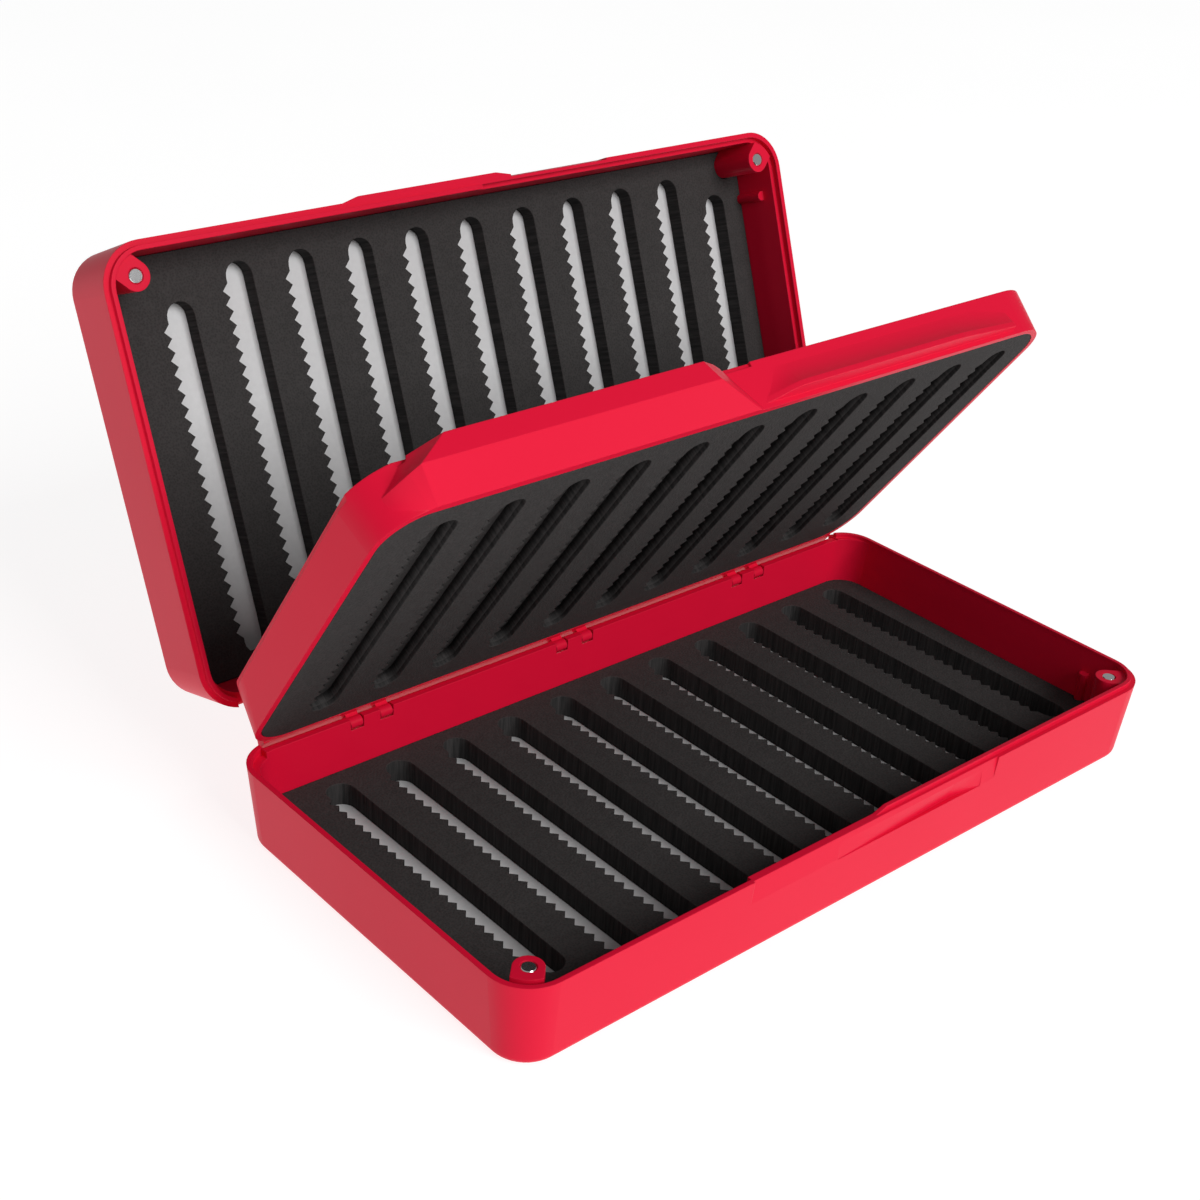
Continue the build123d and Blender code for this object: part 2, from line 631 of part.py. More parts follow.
with BuildPart() as middle_frame:
    tray_side_plan = leaf_plan(
        leaf_bottom_z, leaf_inset_tray_side, leaf_radius_tray_side, leaf_radius_tray_side
    )
    lid_side_plan = leaf_plan(
        leaf_top_z, leaf_inset_lid_side, leaf_radius_lid_side, leaf_radius_lid_hinge
    )
    loft(sections=[tray_side_plan.sketch.face(), lid_side_plan.sketch.face()])

    # left finger lip: a crease at its furthest reach, ruled to the tray side and to the lid side
    lip_front_y = leaf_lid_front_y - left_lip_reach
    crease_z = leaf_top_z - left_lip_face
    crease_radius = leaf_radius_lid_side - leaf_taper * left_lip_face / leaf_height
    lip_left_x = left_lip_left_inset - box_length / 2
    lip_right_x = left_lip_right_x
    foot_left_x = leaf_inset_tray_side + leaf_radius_tray_side - box_length / 2
    foot_right_x = lip_right_x + left_lip_foot_shift
    top_left_x = lip_left_x + left_lip_left_ramp
    top_right_x = lip_right_x - left_lip_top_shift
    half_ramp = left_lip_right_ramp / 2
    lip_foot = lip_outline(
        leaf_bottom_z,
        corner_point(leaf_radius_tray_side, left_lip_blend_angle),
        (foot_left_x - left_lip_corner_run, leaf_tray_front_y + foam_side_gap),
        (foot_left_x, leaf_tray_front_y - left_lip_foot_reach),
        (foot_right_x - left_lip_corner_run, leaf_tray_front_y - left_lip_foot_reach),
        (foot_right_x - left_lip_corner_run / 2, leaf_tray_front_y - left_lip_foot_reach / 2),
        (foot_right_x, leaf_tray_front_y + foam_side_gap),
    )
    lip_crease = lip_outline(
        crease_z,
        corner_point(crease_radius, left_lip_blend_angle),
        (lip_left_x, lip_front_y + left_lip_corner_drop),
        (lip_left_x + left_lip_corner_run, lip_front_y),
        (lip_right_x - left_lip_right_ramp, lip_front_y),
        (lip_right_x - half_ramp, lip_front_y + left_lip_corner_drop),
        (lip_right_x, leaf_lid_front_y + foam_side_gap),
    )
    lip_top = lip_outline(
        leaf_top_z,
        corner_point(leaf_radius_lid_side, left_lip_top_angle),
        (top_left_x - left_lip_left_ramp / 3, lip_front_y + left_lip_corner_drop),
        (top_left_x, lip_front_y),
        (top_right_x - left_lip_right_ramp, lip_front_y),
        (top_right_x - half_ramp, lip_front_y + left_lip_corner_drop),
        (top_right_x, leaf_lid_front_y),
    )
    loft(sections=[lip_foot.sketch.face(), lip_crease.sketch.face()], ruled=True)
    loft(sections=[lip_crease.sketch.face(), lip_top.sketch.face()], ruled=True)

    # right finger lip: swells out at its left end, and fades to the right
    right_lip = []
    for step in range(right_lip_steps + 1):
        swell = (1 - cos(pi * step / right_lip_steps)) / 2
        reach = right_lip_start_reach + (right_lip_reach - right_lip_start_reach) * swell
        x = right_lip_left_x + right_lip_left_run * step / right_lip_steps
        right_lip.append(right_lip_section(x, reach))
    right_lip.append(right_lip_section(right_lip_right_x - right_lip_right_run, right_lip_reach))
    right_lip.append(right_lip_section(right_lip_right_x, right_lip_end_reach))
    loft(sections=[section.sketch.face() for section in right_lip], ruled=True)

    # heels that close the hinge side of the leaf against the two barrels
    heel_back_y = hinge_y + heel_reach
    heel_root_y = box_width / 2 - leaf_inset_tray_side - lip_root
    heel_insets = {
        leaf_bottom_z: (1, hinge_end_inset + heel_end_gap),
        leaf_top_z: (-1, leaf_inset_lid_side + leaf_radius_lid_hinge),
    }
    for heel_z, (inward, heel_inset) in heel_insets.items():
        heel = [
            (heel_root_y, heel_z),
            (heel_back_y, heel_z),
            (heel_back_y, heel_z + heel_edge * inward),
            (heel_root_y, heel_z + heel_height * inward),
        ]
        heel_end_x = box_length / 2 - heel_inset
        section_run(middle_frame_plane, -heel_end_x, heel_end_x, heel)

    # rebate along the left half of the lid side, which takes the lid's tongue
    rebate = rim_ring(
        middle_frame_plane, leaf_top_z, rim_lip - rim_gap, rim_wall + rim_gap, rim_wall + rim_gap,
        -box_length / 2, lid_rabbet_start_x + rim_gap
    )
    extrude(rebate.sketch, amount=-tongue_height, mode=Mode.SUBTRACT)

    # pockets for the two foam sheets, with a web between them
    pocket_inset = leaf_inset_tray_side + leaf_rim
    pocket = leaf_plan(leaf_bottom_z, pocket_inset, leaf_cavity_radius, leaf_cavity_radius)
    extrude(pocket.sketch, amount=web_bottom_z - leaf_bottom_z, mode=Mode.SUBTRACT)
    upper_pocket = leaf_plan(web_top_z, pocket_inset, leaf_cavity_radius, leaf_cavity_hinge_radius)
    extrude(upper_pocket.sketch, amount=leaf_top_z - web_top_z, mode=Mode.SUBTRACT)

    # posts that hold the steel strikes under the foam
    with BuildSketch(level(middle_frame_plane, leaf_bottom_z + strike_cover)) as posts:
        with Locations((-strike_x, strike_y), (strike_x, strike_y)):
            Circle(post_radius)
        RectangleRounded(
            leaf_cavity_length, leaf_cavity_width, leaf_cavity_radius, mode=Mode.INTERSECT
        )
    extrude(posts.sketch, amount=leaf_height - 2 * strike_cover)
    with BuildSketch(level(middle_frame_plane, leaf_top_z)) as strike_bores:
        with Locations((-strike_x, strike_y), (strike_x, strike_y)):
            Circle(strike_radius)
    extrude(strike_bores.sketch, amount=2 * strike_cover - leaf_height, mode=Mode.SUBTRACT)

    lower_arm = [
        (-arm_front, 0),
        (knuckle_radius, 0),
        (knuckle_radius / 2, lower_arm_height - barrel_radius),
        (-arm_front, lower_arm_height),
    ]
    upper_arm = [
        (-arm_front, 0),
        (knuckle_radius, 0),
        (knuckle_radius / 3, -upper_arm_height),
        (-arm_front, -upper_arm_height),
    ]
    add_knuckles(lower_axis_z, lower_arm)
    add_knuckles(upper_axis_z, upper_arm)
keep(middle_frame, "middle_frame")

# foam sheets of the middle leaf: blind slots on the outside, hollows over the strike posts
foam_thickness = web_bottom_z - leaf_bottom_z
leaf_foams = {
    "lower": (leaf_bottom_z, 1, leaf_cavity_radius),
    "upper": (leaf_top_z, -1, leaf_cavity_hinge_radius),
}
for sheet_name, (outside_z, inward, hinge_radius) in leaf_foams.items():
    with BuildPart() as leaf_foam:
        plan = leaf_plan(outside_z, pocket_inset + foam_side_gap, leaf_cavity_radius, hinge_radius)
        extrude(plan.sketch, amount=foam_thickness * inward)
        with BuildSketch(level(middle_frame_plane, outside_z)) as slots:
            slot_row(leaf_slot_shift, leaf_slot_front_y, leaf_slot_back_y, 0.0)
        extrude(slots.sketch, amount=leaf_slot_depth * inward, mode=Mode.SUBTRACT)
        post_top_z = outside_z + (strike_cover - foam_side_gap) * inward
        with BuildSketch(level(middle_frame_plane, post_top_z)) as hollows:
            with Locations((-strike_x, strike_y), (strike_x, strike_y)):
                Circle(post_radius + foam_side_gap)
        extrude(hollows.sketch, amount=foam_thickness * inward, mode=Mode.SUBTRACT)
    keep(leaf_foam, f"middle_foam_{sheet_name}")

for side_name, side in sides.items():
    with BuildPart() as strike:
        with BuildSketch(level(middle_frame_plane, leaf_bottom_z + 2 * strike_cover)) as slug:
            with Locations((side * strike_x, strike_y)):
                Circle(strike_radius)
        extrude(slug.sketch, amount=leaf_height - 3 * strike_cover)
    keep(strike, f"middle_strike_{side_name}")
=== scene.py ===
"""Pocket fly box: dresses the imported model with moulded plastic, cut foam, liner and metal finishes.

The box stands open on a pale studio floor. The tray lies flat, the double-sided middle leaf swings up
from it, and the lid stands behind. Every length is in metres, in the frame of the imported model.
"""

from __future__ import annotations

import json
import logging
import math
from dataclasses import dataclass
from enum import Enum
from typing import Any, Sequence, Union

import bmesh
import bpy
from mathutils import Matrix, Vector

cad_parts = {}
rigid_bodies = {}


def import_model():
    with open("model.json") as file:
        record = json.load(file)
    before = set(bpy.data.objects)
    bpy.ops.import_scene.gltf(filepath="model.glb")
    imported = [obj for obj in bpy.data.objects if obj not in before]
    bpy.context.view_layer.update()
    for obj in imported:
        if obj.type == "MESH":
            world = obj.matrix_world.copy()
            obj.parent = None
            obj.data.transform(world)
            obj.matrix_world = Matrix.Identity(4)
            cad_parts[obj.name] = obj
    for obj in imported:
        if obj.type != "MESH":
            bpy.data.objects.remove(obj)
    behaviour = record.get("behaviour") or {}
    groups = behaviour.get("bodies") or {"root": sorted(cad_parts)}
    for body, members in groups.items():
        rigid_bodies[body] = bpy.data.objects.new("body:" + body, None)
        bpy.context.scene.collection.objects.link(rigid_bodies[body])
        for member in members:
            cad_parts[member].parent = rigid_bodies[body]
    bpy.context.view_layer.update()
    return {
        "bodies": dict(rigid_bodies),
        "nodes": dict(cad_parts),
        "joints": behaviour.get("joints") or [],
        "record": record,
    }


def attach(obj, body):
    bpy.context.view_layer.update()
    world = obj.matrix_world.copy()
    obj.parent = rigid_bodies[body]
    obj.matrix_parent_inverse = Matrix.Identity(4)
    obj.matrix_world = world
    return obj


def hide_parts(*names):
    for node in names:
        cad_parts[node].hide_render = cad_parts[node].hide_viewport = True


LOG = logging.getLogger("fly_box")
MM = 0.001
WELD_DISTANCE = 0.001 * MM

Colour = tuple[float, float, float]
Place = tuple[float, float, float]
Point = tuple[float, float]
Stops = tuple[tuple[float, float], ...]
Value = Union[float, "Link"]


class Shade(Enum):
    """Base colours of the materials, linear RGB."""

    RED = (0.74, 0.006, 0.038)
    DEEP_RED = (0.64, 0.004, 0.029)
    # Pale pink of the painted highlight along the plastic's edges and creases.
    EDGE_HIGHLIGHT_RED = (0.84, 0.022, 0.060)
    FOAM = (0.058, 0.0535, 0.0530)
    FOAM_CELL = (0.024, 0.0228, 0.0224)
    # Painted shade of the foam's upright walls, darkest in the painted shadow streaks.
    FOAM_WALL_SHADOW = (0.021, 0.0202, 0.0202)
    LINER = (0.74, 0.735, 0.74)
    LINER_SHADE = (0.64, 0.635, 0.64)
    NICKEL = (0.93, 0.93, 0.935)
    STEEL = (0.60, 0.60, 0.62)
    SCRATCH = (0.4, 0.4, 0.41)
    FLOOR = (0.32, 0.32, 0.32)
    FLOOR_DUST = (0.29, 0.29, 0.29)
    WHITE = (1.0, 1.0, 1.0)

    @property
    def rgba(self) -> tuple[float, float, float, float]:
        """The colour, opaque, for a shader socket."""
        return (*self.value, 1.0)


class Link:
    """A shader output that takes part in arithmetic: an expression on links adds its Math nodes."""

    def __init__(self, graph: "Graph", socket: bpy.types.NodeSocket) -> None:
        """Wrap a socket of a graph.

        Args:
            graph: The graph that the socket belongs to.
            socket: The node output that is wrapped.
        """
        self.graph = graph
        self.socket = socket

    def _math(self, operation: str, first: Value, second: Value) -> "Link":
        """Return the link of a new Math node on two values."""
        return self.graph.node("ShaderNodeMath", {"operation": operation}, {0: first, 1: second})

    def __add__(self, other: Value) -> "Link":
        """Return self + other."""
        return self._math("ADD", self, other)

    def __radd__(self, other: Value) -> "Link":
        """Return other + self."""
        return self._math("ADD", other, self)

    def __sub__(self, other: Value) -> "Link":
        """Return self - other."""
        return self._math("SUBTRACT", self, other)

    def __rsub__(self, other: Value) -> "Link":
        """Return other - self."""
        return self._math("SUBTRACT", other, self)

    def __mul__(self, other: Value) -> "Link":
        """Return self * other."""
        return self._math("MULTIPLY", self, other)

    def __rmul__(self, other: Value) -> "Link":
        """Return other * self."""
        return self._math("MULTIPLY", other, self)


class Graph:
    """Node tree of one material, built node by node round its Principled shader."""

    def __init__(self, name: str) -> None:
        """Start an empty material.

        Args:
            name: The material's name.
        """
        self.material = bpy.data.materials.new(name)
        self.material.use_nodes = True
        self.tree = self.material.node_tree
        self.shader = self.tree.nodes["Principled BSDF"]

    def node(
        self,
        kind: str,
        settings: dict[str, Any] | None = None,
        inputs: dict[Any, Any] | None = None,
        output: Any = 0,
    ) -> Link:
        """Add a node, set it up and return one of its outputs.

        Args:
            kind: The node's type name.
            settings: Attributes that are set before the sockets, a ramp's stops under "stops".
            inputs: Values or links by socket name or index.
            output: Name or index of the output to return.

        Returns:
            The chosen output as a link.
        """
        node = self.tree.nodes.new(kind)
        for key, value in (settings or {}).items():
            if key == "stops":
                self._stops(node.color_ramp, value)
            else:
                setattr(node, key, value)
        for key, value in (inputs or {}).items():
            self._feed(node.inputs[key], value)
        return Link(self, node.outputs[output])

    @staticmethod
    def _stops(ramp: bpy.types.ColorRamp, stops: Stops) -> None:
        """Give a ramp its grey stops.

        Args:
            ramp: The ramp to set.
            stops: A position and a level for each stop.
        """
        while len(ramp.elements) < len(stops):
            ramp.elements.new(1.0)
        for element, (position, level) in zip(ramp.elements, stops):
            element.position = position
            element.color = (level, level, level, 1.0)

    def _feed(self, socket: bpy.types.NodeSocket, value: Any) -> None:
        """Link or set one input socket.

        Args:
            socket: The input.
            value: A link, or the value to set.
        """
        if isinstance(value, Link):
            self.tree.links.new(value.socket, socket)
        else:
            socket.default_value = value

    def feed(self, **inputs: Any) -> None:
        """Link or set inputs of the Principled shader, underscores standing for spaces."""
        for key, value in inputs.items():
            self._feed(self.shader.inputs[key.replace("_", " ")], value)

    def mix(self, factor: Value, first: Any, second: Any) -> Link:
        """Mix two colours.

        Args:
            factor: Share of the second colour.
            first: A colour or a colour link.
            second: A colour or a colour link.

        Returns:
            The mixed colour.
        """
        node = self.tree.nodes.new("ShaderNodeMix")
        node.data_type = "RGBA"
        for socket, value in ((node.inputs[0], factor), (node.inputs[6], first), (node.inputs[7], second)):
            self._feed(socket, value)
        return Link(self, node.outputs[2])

    def position(self, stretch: Place | None = None) -> Link:
        """Find the point on the object, in its own metres.

        Args:
            stretch: Factors along the object's axes, or None for the plain point.

        Returns:
            The point as a vector link.
        """
        point = self.node("ShaderNodeTexCoord", output="Object")
        if stretch is None:
            return point
        return self.node("ShaderNodeVectorMath", {"operation": "MULTIPLY"}, {0: point, 1: stretch})

    def noise(
        self, scale: float, detail: float = 2.0, roughness: float = 0.5, stretch: Place | None = None
    ) -> Link:
        """Make soft noise on the object.

        Args:
            scale: Features to the metre.
            detail: Octaves of finer noise.
            roughness: Strength of each octave against the one before.
            stretch: Factors along the object's axes, or None for even noise.

        Returns:
            The noise, from 0 to 1.
        """
        return self.node(
            "ShaderNodeTexNoise",
            {"noise_dimensions": "3D"},
            {"Vector": self.position(stretch), "Scale": scale, "Detail": detail, "Roughness": roughness},
        )

    def ramp(self, value: Value, stops: Stops) -> Link:
        """Return a value read off a grey ramp."""
        return self.node("ShaderNodeValToRGB", {"stops": stops}, {"Fac": value})

    def facing_up(self) -> Link:
        """Tell flat faces from upright ones.

        Returns:
            1 where the face looks along the object's own Z axis or against it, 0 across.
        """
        normal = self.node("ShaderNodeTexCoord", output="Normal")
        upright = self.node("ShaderNodeSeparateXYZ", {}, {"Vector": normal}, "Z")
        return self.node("ShaderNodeMath", {"operation": "ABSOLUTE"}, {0: upright})

    def bump(self, height: Value, strength: float, distance: float, normal: Any = None) -> Link:
        """Bump the surface by a height.

        Args:
            height: The height, from 0 to about 1.
            strength: Share of the bump that shows.
            distance: Depth of the bump in metres.
            normal: Normal to start from, or None for the surface's own.

        Returns:
            The bumped normal.
        """
        inputs: dict[str, Any] = {"Height": height, "Strength": strength, "Distance": distance}
        if normal is not None:
            inputs["Normal"] = normal
        return self.node("ShaderNodeBump", {}, inputs, "Normal")


@dataclass(frozen=True)
class MouldedPlastic:
    """Satin coloured plastic with soft edges that carry a painted highlight, and a faint mould texture."""

    name: str
    colour: Shade
    shade: Shade
    # Pale colour of the painted highlight along edges and creases.
    edge_highlight: Shade
    roughness: float = 0.34
    roughness_spread: float = 0.05
    gloss: float = 0.11
    cloud_scale: float = 35.0
    shade_share: float = 0.35
    grain_scale: float = 2600.0
    grain_depth: float = 0.05 * MM
    edge_radius: float = 0.24 * MM
    edge_samples: int = 6
    # Ramp and strength of the painted highlight along edges and creases.
    highlight_stops: Stops = ((0.02, 0.0), (0.16, 1.0))
    highlight_least: float = 0.35
    highlight_spread: float = 0.3

    def build(self) -> bpy.types.Material:
        """Build the plastic.

        Returns:
            The plastic as a material.
        """
        graph = Graph(self.name)
        cloud = graph.noise(self.cloud_scale, detail=3.0)
        grain = graph.noise(self.grain_scale)
        edge = graph.node("ShaderNodeBevel", {"samples": self.edge_samples}, {"Radius": self.edge_radius})
        face = graph.node("ShaderNodeNewGeometry", output="True Normal")
        turn = graph.node("ShaderNodeVectorMath", {"operation": "DOT_PRODUCT"}, {0: edge, 1: face}, "Value")
        # Painted highlight: edges and creases, where the rounded normal turns away from the face's own, are
        # lightened towards the pale highlight colour, more in some places than others.
        painted_highlight = graph.ramp(1.0 - turn, self.highlight_stops) * (self.highlight_least + self.highlight_spread * cloud)
        body = graph.mix(cloud * self.shade_share, self.colour.rgba, self.shade.rgba)
        graph.feed(
            Base_Color=graph.mix(painted_highlight, body, self.edge_highlight.rgba),
            Roughness=self.roughness + self.roughness_spread * cloud + self.roughness_spread * grain,
            Normal=graph.bump(grain, strength=0.10, distance=self.grain_depth, normal=edge),
        )
        graph.feed(IOR=1.5, Specular_IOR_Level=self.gloss)
        return graph.material


@dataclass(frozen=True)
class CutFoam:
    """Fine closed-cell foam, die cut: mottled faces, and upright cut walls with painted shade and painted
    shadow streaks running down them.
    """

    name: str
    colour: Shade
    cell: Shade
    # Colour of the painted shade on the upright walls, shown darkest in the painted shadow streaks.
    cut: Shade
    roughness: float = 0.84
    roughness_spread: float = 0.12
    gloss: float = 0.22
    cell_size: float = 0.42 * MM
    pit_stops: Stops = ((0.10, 0.0), (0.70, 1.0))
    pit_share: float = 0.45
    patch_scale: float = 420.0
    patch_share: float = 0.5
    # Size, length, ramp, share and bump height of the painted shadow streaks down the walls.
    streak_size: float = 0.55 * MM
    streak_length: float = 12.0 * MM
    streak_stops: Stops = ((0.38, 0.0), (0.66, 1.0))
    streak_share: float = 0.7
    streak_height: float = 2.0
    flat_stops: Stops = ((0.45, 0.0), (0.80, 1.0))
    bump_depth: float = 0.14 * MM

    def build(self) -> bpy.types.Material:
        """Build the foam, for pieces whose own Z runs through the sheet.

        Returns:
            The foam as a material.
        """
        graph = Graph(self.name)
        cells = graph.node(
            "ShaderNodeTexVoronoi",
            {"feature": "F1"},
            {"Vector": graph.position(), "Scale": 1.0 / self.cell_size, "Randomness": 1.0},
        )
        patches = graph.noise(self.patch_scale, detail=4.0, roughness=0.6)
        pits = graph.ramp(cells, self.pit_stops)
        face = graph.mix(pits * self.pit_share + patches * self.patch_share, self.cell.rgba, self.colour.rgba)
        # Painted shadow: streaks run down the upright walls, which are painted darker than the faces as
        # painted shade; the streaks also bump the walls.
        along = self.streak_size / self.streak_length
        streaks = graph.noise(1.0 / self.streak_size, detail=3.0, roughness=0.65, stretch=(1.0, 1.0, along))
        painted_streak_shadow = graph.ramp(streaks, self.streak_stops) * self.streak_share
        wall = graph.mix(painted_streak_shadow, self.cut.rgba, self.colour.rgba)
        # Flat faces keep the mottled foam colour; upright walls take the painted shade and painted shadow
        # streaks.
        flat = graph.ramp(graph.facing_up(), self.flat_stops)
        height = (cells + patches) * flat + streaks * self.streak_height * (1.0 - flat)
        graph.feed(
            Base_Color=graph.mix(flat, wall, face),
            Roughness=self.roughness + self.roughness_spread * patches,
            Normal=graph.bump(height, strength=0.5, distance=self.bump_depth),
        )
        graph.feed(IOR=1.4, Specular_IOR_Level=self.gloss)
        return graph.material


@dataclass(frozen=True)
class LinerSheet:
    """Pale matt plastic sheet under the foam."""

    name: str
    colour: Shade
    shade: Shade
    roughness: float = 0.55
    roughness_spread: float = 0.15
    fibre_scale: float = 900.0
    fibre_depth: float = 0.05 * MM

    def build(self) -> bpy.types.Material:
        """Build the sheet.

        Returns:
            The sheet as a material.
        """
        graph = Graph(self.name)
        fibre = graph.noise(self.fibre_scale, detail=3.0)
        graph.feed(
            Base_Color=graph.mix(fibre, self.shade.rgba, self.colour.rgba),
            Roughness=self.roughness + self.roughness_spread * fibre,
            Normal=graph.bump(fibre, strength=0.15, distance=self.fibre_depth),
        )
        return graph.material


@dataclass(frozen=True)
class PlatedMetal:
    """Plated or drawn metal with fine scratches."""

    name: str
    colour: Shade
    roughness: float
    roughness_spread: float = 0.12
    scratch_scale: float = 3200.0
    scratch_share: float = 0.2
    scratch_depth: float = 0.01 * MM

    def build(self) -> bpy.types.Material:
        """Build the metal.

        Returns:
            The metal as a material.
        """
        graph = Graph(self.name)
        scratch = graph.noise(self.scratch_scale, detail=4.0, roughness=0.7)
        graph.feed(
            Base_Color=graph.mix(scratch * self.scratch_share, self.colour.rgba, Shade.SCRATCH.rgba),
            Metallic=1.0,
            Roughness=self.roughness + self.roughness_spread * scratch,
            Normal=graph.bump(scratch, strength=0.05, distance=self.scratch_depth),
        )
        return graph.material


class Finish(Enum):
    """The finishes of the box, by the record's material slot."""

    RED_SHELL = "red_shell"
    BLACK_FOAM = "black_foam"
    PALE_LINER = "pale_liner"
    NICKEL_MAGNET = "nickel_magnet"
    STEEL = "steel"


class Workshop:
    """Makes each finish once and puts it on CAD nodes and pieces."""

    def __init__(self, frame: dict[str, Any]) -> None:
        """Build every finish.
        """
        self.frame = frame
        recipes = {
            Finish.RED_SHELL: MouldedPlastic("moulded_red", Shade.RED, Shade.DEEP_RED, Shade.EDGE_HIGHLIGHT_RED),
            Finish.BLACK_FOAM: CutFoam("cut_foam", Shade.FOAM, Shade.FOAM_CELL, Shade.FOAM_WALL_SHADOW),
            Finish.PALE_LINER: LinerSheet("pale_sheet", Shade.LINER, Shade.LINER_SHADE),
            Finish.NICKEL_MAGNET: PlatedMetal("nickel_plate", Shade.NICKEL, 0.08),
            Finish.STEEL: PlatedMetal("drawn_steel", Shade.STEEL, 0.25),
        }
        self.materials = {finish: recipe.build() for finish, recipe in recipes.items()}

    def dress(self, piece: bpy.types.Object, finish: Finish) -> None:
        """Give a piece or CAD node one finish."""
        piece.data.materials.clear()
        piece.data.materials.append(self.materials[finish])

    def dress_nodes(self) -> None:
        """Give each CAD node the finish of its slot in the record."""
        slots = {entry["node"]: entry["material_slot"] for entry in self.frame["record"]["subparts"]}
        for name, node in self.frame["nodes"].items():
            finish = Finish(slots[name])
            for index in range(len(node.material_slots)):
                node.material_slots[index].material = self.materials[finish]
            LOG.info("dressed %s with %s", name, finish.value)


class Leaf(Enum):
    """The three leaves of the box, by body."""

    TRAY = "tray"
    MIDDLE = "middle"
    LID = "lid"


class Leaves:
    """Places the frame of the closed box where each leaf stands open."""

    def __init__(self, joints: Sequence[dict[str, Any]]) -> None:
        """Work out the swing of each leaf from the two hinges.

        Args:
            joints: The record's joints, whose lowest limit is the closed box.
        """
        by_name = {joint["name"]: joint for joint in joints}
        lower, upper = by_name["lower_hinge"], by_name["upper_hinge"]
        middle = self._swing(Vector(lower["pos_m"]), lower["range_deg"][0])
        upper_axis = middle.inverted() @ Vector(upper["pos_m"])
        lid = middle @ self._swing(upper_axis, upper["range_deg"][0])
        self.places = {Leaf.TRAY: Matrix.Identity(4), Leaf.MIDDLE: middle, Leaf.LID: lid}

    @staticmethod
    def _swing(axis_point: Vector, closed_angle: float) -> Matrix:
        """Work out the turn that opens a leaf.

        Args:
            axis_point: A point on the hinge's axis, in the closed box.
            closed_angle: The joint's angle in the closed box, in degrees.

        Returns:
            The turn about the hinge from the closed place to the open one.
        """
        turn = Matrix.Rotation(math.radians(closed_angle), 4, "X")
        return Matrix.Translation(axis_point) @ turn @ Matrix.Translation(-axis_point)

    def put(self, piece: bpy.types.Object, leaf: Leaf) -> None:
        """Stand a piece drawn in the closed box on its open leaf, and let it ride there.

        Args:
            piece: The piece.
            leaf: The leaf that it belongs to.
        """
        piece.matrix_world = self.places[leaf]
        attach(piece, leaf.value)


@dataclass(frozen=True)
class BoxPlan:
    """Sizes of the closed box that the foam sheets are cut to: insets from its outline, and heights."""

    length: float = 160.0 * MM
    width: float = 82.6 * MM
    softness: float = 0.16 * MM

    boss_inset_x: float = 6.3 * MM
    boss_inset_y: float = 5.8 * MM
    boss_radius: float = 2.7 * MM
    shell_inset: float = 2.7 * MM
    hinge_inset: float = 2.9 * MM
    shell_radius: float = 5.3 * MM
    rib_inset_y: float = 13.5 * MM
    rib_radius: float = 1.1 * MM
    rib_gap: float = 0.1 * MM
    shell_slot_front: float = 6.45 * MM
    shell_slot_back: float = 6.1 * MM
    end_slot_setback: float = 5.0 * MM
    tray_slot_shift: float = -0.55 * MM
    tray_foam_bottom: float = 1.9 * MM
    tray_foam_top: float = 6.58 * MM
    lid_foam_bottom: float = 36.37 * MM
    lid_foam_top: float = 40.03 * MM

    leaf_inset: float = 3.8 * MM
    leaf_front_radius: float = 7.5 * MM
    leaf_tray_hinge_radius: float = 7.5 * MM
    leaf_lid_hinge_radius: float = 16.7 * MM
    leaf_slot_front: float = 8.4 * MM
    leaf_slot_back: float = 10.3 * MM
    leaf_slot_shift: float = -2.15 * MM
    leaf_tray_face: float = 16.81 * MM
    leaf_lid_face: float = 25.46 * MM
    leaf_foam_thickness: float = 3.82 * MM
    leaf_slot_depth: float = 2.6 * MM
    leaf_post_cover: float = 0.9 * MM
    leaf_step_back: float = 0.02 * MM
    strike_inset_x: float = 7.5 * MM
    strike_inset_y: float = 7.2 * MM
    post_radius: float = 3.3 * MM

    @property
    def front(self) -> float:
        """Y of the finger side."""
        return -self.width / 2

    @property
    def hinge_side(self) -> float:
        """Y of the hinge side."""
        return self.width / 2


def arc(centre: Point, radius: float, start: float, end: float, steps: int = 10) -> list[Point]:
    """Lay points on an arc.

    Args:
        centre: Centre of the arc.
        radius: Radius of the arc.
        start: First angle in degrees, anticlockwise from X.
        end: Last angle in degrees.
        steps: Straight steps that the arc is cut into.

    Returns:
        The points from the first angle to the last.
    """
    points = []
    for step in range(steps + 1):
        angle = math.radians(start + (end - start) * step / steps)
        points.append((centre[0] + radius * math.cos(angle), centre[1] + radius * math.sin(angle)))
    return points


def circle(centre: Point, radius: float, points: int = 30) -> list[Point]:
    """Return points all round a circle, none of them twice."""
    return arc(centre, radius, 0, 360 - 360 / points, points - 1)


def rounded_plan(half_x: float, half_y: float, front_radius: float, back_radius: float) -> list[Point]:
    """Draw a rounded sheet.

    Args:
        half_x: Half of the sheet's length.
        half_y: Half of its width.
        front_radius: Radius of the corners at the finger side.
        back_radius: Radius of the corners at the hinge.

    Returns:
        The sheet's outline, anticlockwise.
    """
    outline = []
    for side_x, side_y, radius, start in (
        (1, -1, front_radius, -90),
        (1, 1, back_radius, 0),
        (-1, 1, back_radius, 90),
        (-1, -1, front_radius, 180),
    ):
        centre = (side_x * (half_x - radius), side_y * (half_y - radius))
        outline += arc(centre, radius, start, start + 90, steps=12)
    return outline


